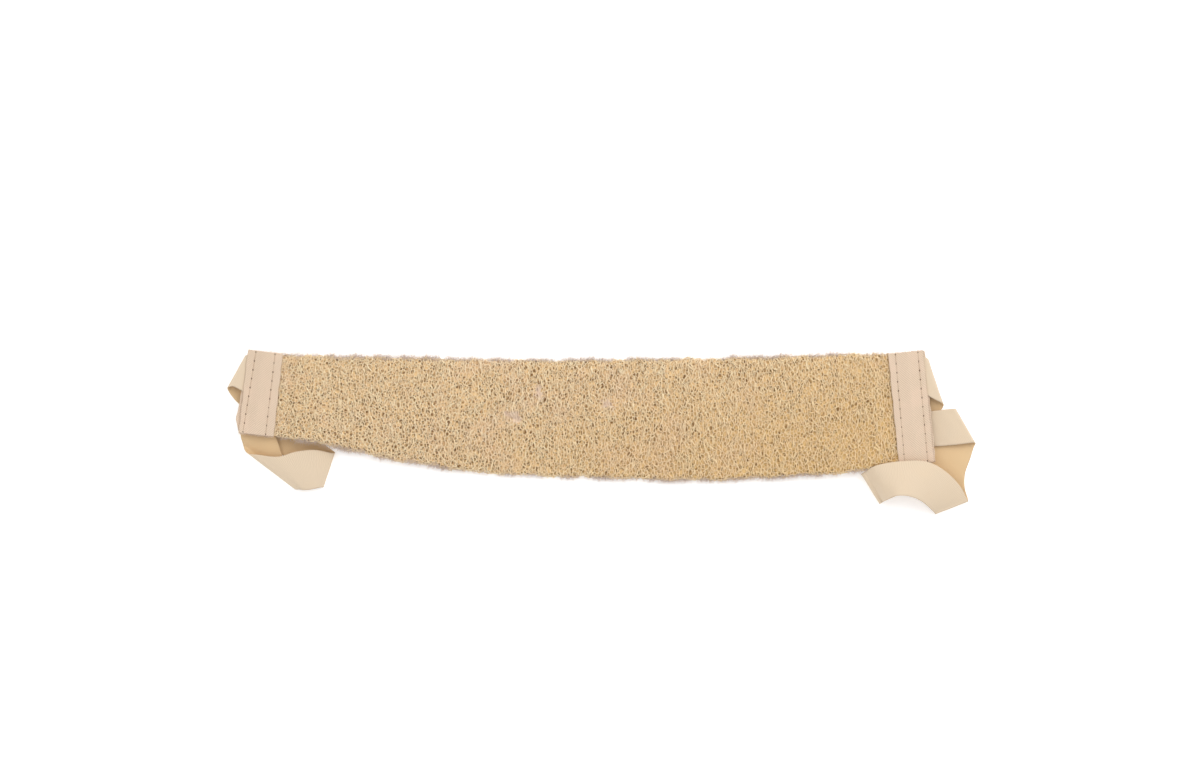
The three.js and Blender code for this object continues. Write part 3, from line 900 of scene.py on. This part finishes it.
def cloth_object(name, rows, uv, thickness, material, paint_shaded_face=False):
    """A closed sheet of cloth on a grid of points, with its own flat measure as UV."""
    down = np.gradient(rows, axis=0)
    over = np.gradient(rows, axis=1)
    normal = np.cross(down, over)
    normal /= np.maximum(np.linalg.norm(normal, axis=-1, keepdims=True), 1e-9)
    steps_down, steps_over = rows.shape[:2]
    front = np.arange(steps_down * steps_over).reshape(steps_down, steps_over)
    back = front + steps_down * steps_over
    points = np.vstack([(rows + normal * side * thickness / 2).reshape(-1, 3) for side in (1, -1)])
    faces = []
    for i in range(steps_down - 1):
        for j in range(steps_over - 1):
            ring = ((i, j), (i + 1, j), (i + 1, j + 1), (i, j + 1))
            faces.append([front[k] for k in ring])
            faces.append([back[k] for k in ring[::-1]])
        low, high = 0, steps_over - 1
        faces.append([front[i, low], back[i, low], back[i + 1, low], front[i + 1, low]])
        faces.append([front[i, high], front[i + 1, high], back[i + 1, high], back[i, high]])
    for j in range(steps_over - 1):
        last = steps_down - 1
        faces.append([front[0, j], front[0, j + 1], back[0, j + 1], back[0, j]])
        faces.append([front[last, j], back[last, j], back[last, j + 1], front[last, j + 1]])
    mesh = bpy.data.meshes.new(name)
    mesh.from_pydata(points.tolist(), [], [[int(k) for k in face] for face in faces])
    measure = np.vstack([uv.reshape(-1, 2)] * 2)
    corner_points = np.zeros(len(mesh.loops), dtype=np.int64)
    mesh.loops.foreach_get("vertex_index", corner_points)
    mesh.uv_layers.new(name="cloth").data.foreach_set("uv", measure[corner_points].ravel())
    # Painted shade: one face of a ribbon is marked for a darker golden colour, which stands for its
    # undersides and the insides of its folds where they lie in shade
    painted_shade_face = np.r_[np.full(len(points) // 2, float(paint_shaded_face)), np.zeros(len(points) // 2)]
    mesh.attributes.new("painted_shade_face", "FLOAT", "POINT").data.foreach_set("value", painted_shade_face)
    mesh.polygons.foreach_set("use_smooth", [True] * len(mesh.polygons))
    mesh.materials.append(material)
    return placed(name, mesh)


def weave_group():
    """Twill: fine cords that run aslant over the cloth, broken by the threads they cross."""
    tree, given = new_tree(
        "Cotton weave",
        {
            "Ribs per metre": 900.0, "Slant": 1.0, "Light": (0.9, 0.8, 0.7, 1.0),
            "Shade": (0.7, 0.6, 0.5, 1.0), "Cloud": (0.8, 0.7, 0.6, 1.0),
            "Reverse": (0.7, 0.6, 0.5, 1.0),
        },
        (("Colour", "Color"), ("Roughness", "Float"), ("Height", "Float")),
        "ShaderNodeTree",
    )
    measure = first(tree, "ShaderNodeUVMap", uv_map="cloth")
    across, along, _ = split(tree, measure)
    aslant = times_plus(tree, across, given["Slant"], along)
    _, stray = noise(tree, measure, 300.0, 1.0)
    aslant = times_plus(tree, split(tree, stray)[0], 0.0012, aslant)
    turns = times(tree, given["Ribs per metre"], 2 * math.pi)
    rib = calc(tree, "SINE", times(tree, aslant, turns))
    turns = times(tree, given["Ribs per metre"], 4 * math.pi)
    thread = calc(tree, "SINE", times(tree, across, turns))
    woven = times_plus(tree, thread, 0.3, rib)
    cloud, _ = noise(tree, object_place(tree), 60.0, 3.0)
    grain, _ = noise(tree, measure, 2600.0, 2.0)
    share = times_plus(tree, grain, 0.5, between(tree, woven, -1.3, 1.3, 0.0, 0.85))
    colour = blend(tree, between(tree, share, 0.1, 1.1), given["Shade"], given["Light"])
    cloud = between(tree, cloud, 0.45, 0.75, 0.0, 0.5)
    colour = blend(tree, cloud, colour, given["Cloud"])
    # Painted shade: the darker gold of the marked ribbon face, taken a little less by the lighter
    # threads of the weave
    worn = between(tree, share, 0.0, 1.2, 1.0, 0.8)
    painted_shade_face = times(tree, mask(tree, "painted_shade_face"), worn)
    colour = blend(tree, painted_shade_face, colour, given["Reverse"])
    rough = between(tree, grain, 0.2, 0.8, 0.72, 0.9)
    height = times_plus(tree, grain, 0.4, woven)
    end_tree(tree, Colour=colour, Roughness=rough, Height=height)
    return tree


weave = weave_group()


def cloth_material(name, light, shade, cloud, painted_shade_face, ribs, slant, depth, sheen):
    material, tree, shader = new_material(name)
    inputs = opaque(Light=light, Shade=shade, Cloud=cloud, Reverse=painted_shade_face)
    inputs.update({"Ribs per metre": ribs, "Slant": slant})
    cloth = add(tree, "ShaderNodeGroup", inputs, node_tree=weave).outputs
    inputs = {"Height": cloth["Height"], "Distance": depth, "Strength": 0.6}
    tree.links.new(first(tree, "ShaderNodeBump", inputs), shader["Normal"])
    tree.links.new(cloth["Colour"], shader["Base Color"])
    tree.links.new(cloth["Roughness"], shader["Roughness"])
    shader["Sheen Weight"].default_value = sheen
    shader["Specular IOR Level"].default_value = 0.3
    return material


tape_cloth = cloth_material(
    "cotton tape", (0.785, 0.61, 0.46), (0.51, 0.385, 0.27), (0.77, 0.565, 0.425),
    (0.70, 0.55, 0.41), 480.0, 1.0, 0.00018, 0.10,
)
for name in tapes:
    rows, uv = tape_rows(name, *tape_steps)
    piece = cloth_object(f"cloth_{name}", rows, uv, tape_thickness, tape_cloth)
    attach(piece, "root")
    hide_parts(name)

# The tapes: their frayed ends
# Each tape is cut across and not hemmed, so that its lengthwise threads stand out of the
# two cut ends by a millimetre or two.


def path_object(name, points, links):
    path = bpy.data.meshes.new(name)
    path.from_pydata(points.tolist(), links, [])
    return placed(name, path)


def fray_tree():
    tree, given = new_tree(
        "Frayed end",
        {
            "Edges": "Object", "Spacing": 0.0005, "Short": 0.0004, "Long": 0.0018,
            "Thickness": 0.00012, "Seed": 1, "Material": "Material",
        },
    )
    inputs = {"Curve": curve_of(tree, mesh_of(tree, given["Edges"])), "Length": given["Spacing"]}
    roots = first(tree, "GeometryNodeResampleCurve", inputs, mode="LENGTH")
    outward = {"Vector": named(tree, "outward", "FLOAT_VECTOR")}
    straight = first(tree, "FunctionNodeAlignRotationToVector", outward, axis="Z")
    size = random_number(tree, given["Short"], given["Long"], given["Seed"])
    line = straight_line(tree, (0.0, 0.0, -0.5), (0.0, 0.0, 1.0), 3)
    threads = planted(tree, roots, line, leaning(tree, straight, 0.7, given["Seed"]), size)
    curled = waved(tree, threads, 700.0, (0.0016, 0.0016, 0.0016))
    finish_tree(tree, tubes_along(tree, curled, given["Thickness"], 3), given["Material"])
    return tree


fray = fray_tree()
for name in tapes:
    rows, _ = tape_rows(name, *tape_steps)
    axis = tape_frame(name)[3]
    points = np.vstack([rows[0], rows[-1]])
    count = rows.shape[1]
    links = [(i, i + 1) for i in range(2 * count - 1) if i != count - 1]
    edges = path_object("cut ends", points, links)
    outward = np.repeat([[-axis[0], -axis[1], 0.0], [axis[0], axis[1], 0.0]], count, axis=0)
    arrows = edges.data.attributes.new("outward", "FLOAT_VECTOR", "POINT")
    arrows.data.foreach_set("vector", outward.ravel())
    piece = grow(
        f"fray_{name}", fray, {"Edges": edges, "Seed": 41 + len(name), "Material": tape_cloth}
    )
    bpy.data.objects.remove(edges)
    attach(piece, "root")

# The rows of stitches
# Two rows of lockstitch at each end, through both tapes and the strip. The thread lies in
# the dip that it pulls in the tape, and drops into a needle hole after each stitch, whose
# shade is painted as a small dark spot.
thread_radius = 0.00022
hole_radius = 0.00062
ribbon_covers = {"left": 0.5, "right": 0.84}
ribbon_ease = 0.07
ribbon_depth = 0.0049


def grained_material(name, dark, light, grain, roughness):
    material, tree, shader = new_material(name)
    speck, _ = noise(tree, object_place(tree), grain, 2.0)
    colour = blend(tree, speck, (*dark, 1.0), (*light, 1.0))
    tree.links.new(colour, shader["Base Color"])
    shader["Roughness"].default_value = roughness
    return material


thread_colour = grained_material(
    "sewing thread", (0.40, 0.28, 0.18), (0.60, 0.45, 0.32), 1800.0, 0.85
)
# Painted shade: the needle holes are small dark spots
needle_hole_shade = grained_material("needle hole", (0.10, 0.06, 0.04), (0.22, 0.14, 0.09), 1500.0, 0.95)


def stitch_tree():
    tree, given = new_tree(
        "Row of stitches",
        {
            "Row": "Object", "Stitches": 10, "Thickness": thread_radius, "Sink": 0.0005,
            "Side": 1.0, "Material": "Material",
        },
    )
    row = curve_of(tree, mesh_of(tree, given["Row"]))
    joints = times_plus(tree, given["Stitches"], 8.0, 1.0)
    fine = resampled(tree, row, joints)
    turn = times(tree, share_along(tree), given["Stitches"])
    turn = times(tree, turn, math.pi)
    near_hole = calc(tree, "POWER", calc(tree, "ABSOLUTE", calc(tree, "COSINE", turn)), 6.0)
    down = times(tree, times(tree, near_hole, given["Sink"]), -1.0)
    down = times(tree, down, given["Side"])
    sunk = moved(tree, fine, Offset=joined(tree, z=down))
    taper = times_plus(tree, near_hole, -0.45, 1.0)
    radius = times(tree, given["Thickness"], taper)
    finish_tree(tree, tubes_along(tree, sunk, radius, 6), given["Material"])
    return tree


def needle_hole_tree():
    tree, given = new_tree(
        "Row of needle holes",
        {"Row": "Object", "Stitches": 10, "Side": 1.0, "Seed": 7, "Material": "Material"},
    )
    row = curve_of(tree, mesh_of(tree, given["Row"]))
    ends = calc(tree, "ADD", given["Stitches"], 1.0)
    needle = resampled(tree, row, ends)
    dot = first(tree, "GeometryNodeMeshIcoSphere", {"Radius": hole_radius, "Subdivisions": 2})
    inputs = {
        "Geometry": dot, "Scale": (0.85, 1.35, 0.5),
        "Translation": joined(tree, z=times(tree, given["Side"], -0.00016)),
    }
    flat_dot = first(tree, "GeometryNodeTransform", inputs)
    size = random_vector(tree, (0.6, 0.7, 0.8), (1.1, 1.3, 1.2), given["Seed"])
    inputs = {"Points": needle, "Instance": flat_dot, "Scale": size}
    holes = first(tree, "GeometryNodeInstanceOnPoints", inputs)
    finish_tree(tree, holes, given["Material"])
    return tree


stitch_row = stitch_tree()
needle_holes = needle_hole_tree()
for seam, (end, start, finish) in seam_runs.items():
    for face, label in ((1, "needle"), (-1, "bobbin")):
        name = f"{'front' if face > 0 else 'back'}_tape_{end}"
        _, _, top, axis, inward, length = tape_frame(f"front_tape_{end}")
        inset = seam_inset / length
        along = np.linspace(inset, 1 - inset, 120)
        at = start + (finish - start) * along
        points = np.zeros((len(along), 3))
        points[:, :2] = top + axis * (along * length)[:, None] + inward * at[:, None]
        _, _, top, axis, inward, length = tape_frame(name)
        across = (points[:, :2] - top) @ inward
        down = (points[:, :2] - top) @ axis / length
        surface = tape_height(name, across) + face * (tape_thickness / 2 - seam_dip)
        covered = ramp(down, ribbon_covers[end] - ribbon_ease, ribbon_covers[end]) * (face < 0)
        under_ribbon = end_lift[end] + base_height + sewn_thickness / 2 - ribbon_depth
        points[:, 2] = surface + (under_ribbon - surface) * covered + face * thread_radius * 0.6
        row = path_object("row", points, [(i, i + 1) for i in range(len(along) - 1)])
        values = {"Row": row, "Side": float(face), "Stitches": stitches_in(end)}
        values["Material"] = thread_colour
        piece = grow(f"stitches_{label}_{seam}", stitch_row, values)
        values["Material"] = needle_hole_shade
        holes = grow(f"needle_holes_{label}_{seam}", needle_holes, values)
        bpy.data.objects.remove(row)
        for made in (holes, piece):
            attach(made, "root")
        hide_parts(f"{label}_thread_{seam}")

# The ribbon handles
# Each is one length of 30 mm cotton ribbon. One end is sewn on the back of the tapes and
# the other between them. Laid down, the loop has collapsed into flat runs that turn at
# soft folds. Each station is a crossing of the ribbon, given by its two edges in x, y and
# height in millimetres. A fold has two heights, for the run before it and the run after.
ribbon_width = 0.030
ribbon_thickness = 0.00050
fold_steps = 8
most_lean = 1.3
left_handle = [
    ((-307.6, 26, 5.1), (-277.6, 23, 5.1)),
    ((-308.4, 10, 5.1), (-278.4, 7, 5.1)),
    ((-306.6, -1, 4.8), (-275.2, -6, 4.8)),
    ((-301, -16.5, 1.8, 9.2), (-261.5, -46.8, 0.8, 5.6)),
    ((-274, -19.9, 10), (-252.4, -48.4, 6.6)),
    ((-259, -15.7, 9.6), (-248.4, -48.2, 6.9)),
    ((-243, -14.2, 8), (-243, -47.2, 6.5)),
    ((-226.4, -16.6, 5.6, 0.9), (-236, -46, 4.8, 0.8)),
    ((-254.2, 6.4, 0.9), (-275.2, -15, 0.9)),
    ((-281.8, 43.4, 1.1), (-303, 19.6, 1.1)),
    ((-295.3, 53.5, 1.5), (-311.3, 28, 1.4)),
    ((-302.4, 65.2, 2.4, 9.55), (-317.2, 38.4, 2.2, 9.55)),
    ((-291.5, 61.2, 9.57), (-298.2, 32, 9.57)),
]
right_handle = [
    ((263, 66, 8.07), (270.5, 35, 8.07)),
    ((277.5, 62, 8, 2.8), (290, 24, 7.8, 2.4)),
    ((265.5, 38, 1.7), (286, 6, 1.5)),
    ((254.6, 17.3, 0.8, 2.9), (281.5, -11.6, 0.8, 3)),
    ((279, 18.6, 4.4), (291, -10.8, 4.2)),
    ((291, 19.9, 7), (303, -9.6, 5.8)),
    ((300.6, 20.2, 7.4, 2.4), (317.6, -8.6, 6.2, 1.6)),
    ((284.8, -5, 1.5), (313.5, -21, 1.4)),
    ((280.5, -24, 1.1), (308.8, -35, 1.3)),
    ((279, -45, 0.9), (308.6, -46, 1.2)),
    ((283.5, -69, 0.8, 4.4), (311.6, -58, 0.9, 5)),
    ((278.6, -64, 10.5), (304.5, -45.6, 8.4)),
    ((269.5, -57, 20), (291, -32, 12.6)),
    ((259, -53, 26), (275, -24, 15.6)),
    ((250, -52.6, 26.4), (250, -24, 16.4)),
    ((242.4, -56, 19), (231, -27.8, 15.4)),
    ((236.2, -60.2, 7.6, 2.4), (220.4, -34.6, 9.4, 3.2)),
    ((252, -50.4, 2.9), (236, -24.6, 3.1)),
    ((265, -42.6, 3.45), (249, -16.4, 3.45)),
    ((279.6, -34, 3.45), (263.6, -8, 3.45)),
]


def edge_line(stations, edge):
    """One edge of a ribbon in millimetres, each fold turned through a half circle."""
    middles = [(np.array(a[:2]) + np.array(b[:2])) / 2 for a, b in stations]
    points = []
    for i, station in enumerate(stations):
        if len(station[edge]) == 3:
            points.append(station[edge])
            continue
        crease = np.array(station[1][:2]) - np.array(station[0][:2])
        crease = crease / np.linalg.norm(crease)
        outward = np.array((-crease[1], crease[0]))
        heading = middles[i] - middles[i - 1]
        if outward @ heading < 0:
            outward = -outward
        lean = np.clip((heading @ crease) / (heading @ outward), -most_lean, most_lean)
        x, y, low, high = station[edge]
        radius = abs(high - low) / 2
        for turn in np.linspace(0, math.pi, fold_steps + 1):
            reach = outward * radius * (math.sin(turn) - 1)
            slip = crease * radius * (turn - math.pi / 2) * lean
            height = (low + high) / 2 - (high - low) / 2 * math.cos(turn)
            points.append((x + reach[0] + slip[0], y + reach[1] + slip[1], height))
    return smooth_line(points, 6)


def ribbon_rows(stations, steps_across, seed):
    a, b = edge_line(stations, 0) / 1000, edge_line(stations, 1) / 1000
    share = np.linspace(0, 1, steps_across)[None, :, None]
    rows = a[:, None, :] * (1 - share) + b[:, None, :] * share
    steps = np.linalg.norm(np.diff(rows[:, steps_across // 2], axis=0), axis=1)
    along = np.r_[0, np.cumsum(steps)]
    # Soft ripples that a ribbon takes up when it has been handled
    draw = np.random.default_rng(seed)
    ripple = np.zeros(rows.shape[:2])
    for wave, size in ((38, 0.00016), (71, 0.00010), (140, 0.00006)):
        phase, tilt = draw.uniform(0, 6.28, 2)
        ripple += size * np.sin(
            wave * 2 * math.pi * (along[:, None] + 0.02 * share[..., 0] * math.cos(tilt)) + phase
        )
    normal = np.cross(np.gradient(rows, axis=0), np.gradient(rows, axis=1))
    normal /= np.maximum(np.linalg.norm(normal, axis=-1, keepdims=True), 1e-9)
    rows = rows + normal * (ripple * (0.35 + np.abs(share[..., 0] - 0.5)))[..., None]
    across = (share[..., 0] - 0.5) * ribbon_width * np.ones(rows.shape[:2])
    uv = np.stack([across, along[:, None] * np.ones(rows.shape[:2])], axis=-1)
    return rows, uv, along[-1]


# The fourth colour, a darker gold, is the painted shade on one face of the ribbon
ribbon_cloth = cloth_material(
    "cotton ribbon", (0.735, 0.59, 0.435), (0.61, 0.48, 0.335), (0.70, 0.545, 0.38),
    (0.70, 0.48, 0.255), 900.0, 0.0, 0.00006, 0.15,
)
for end, stations, seed in (("left", left_handle, 5), ("right", right_handle, 6)):
    rows, uv, length = ribbon_rows(stations, 25, seed)
    piece = cloth_object(f"ribbon_{end}", rows, uv, ribbon_thickness, ribbon_cloth, True)
    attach(piece, "root")
    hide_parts(f"ribbon_handle_{end}")

bpy.data.objects.remove(skin)
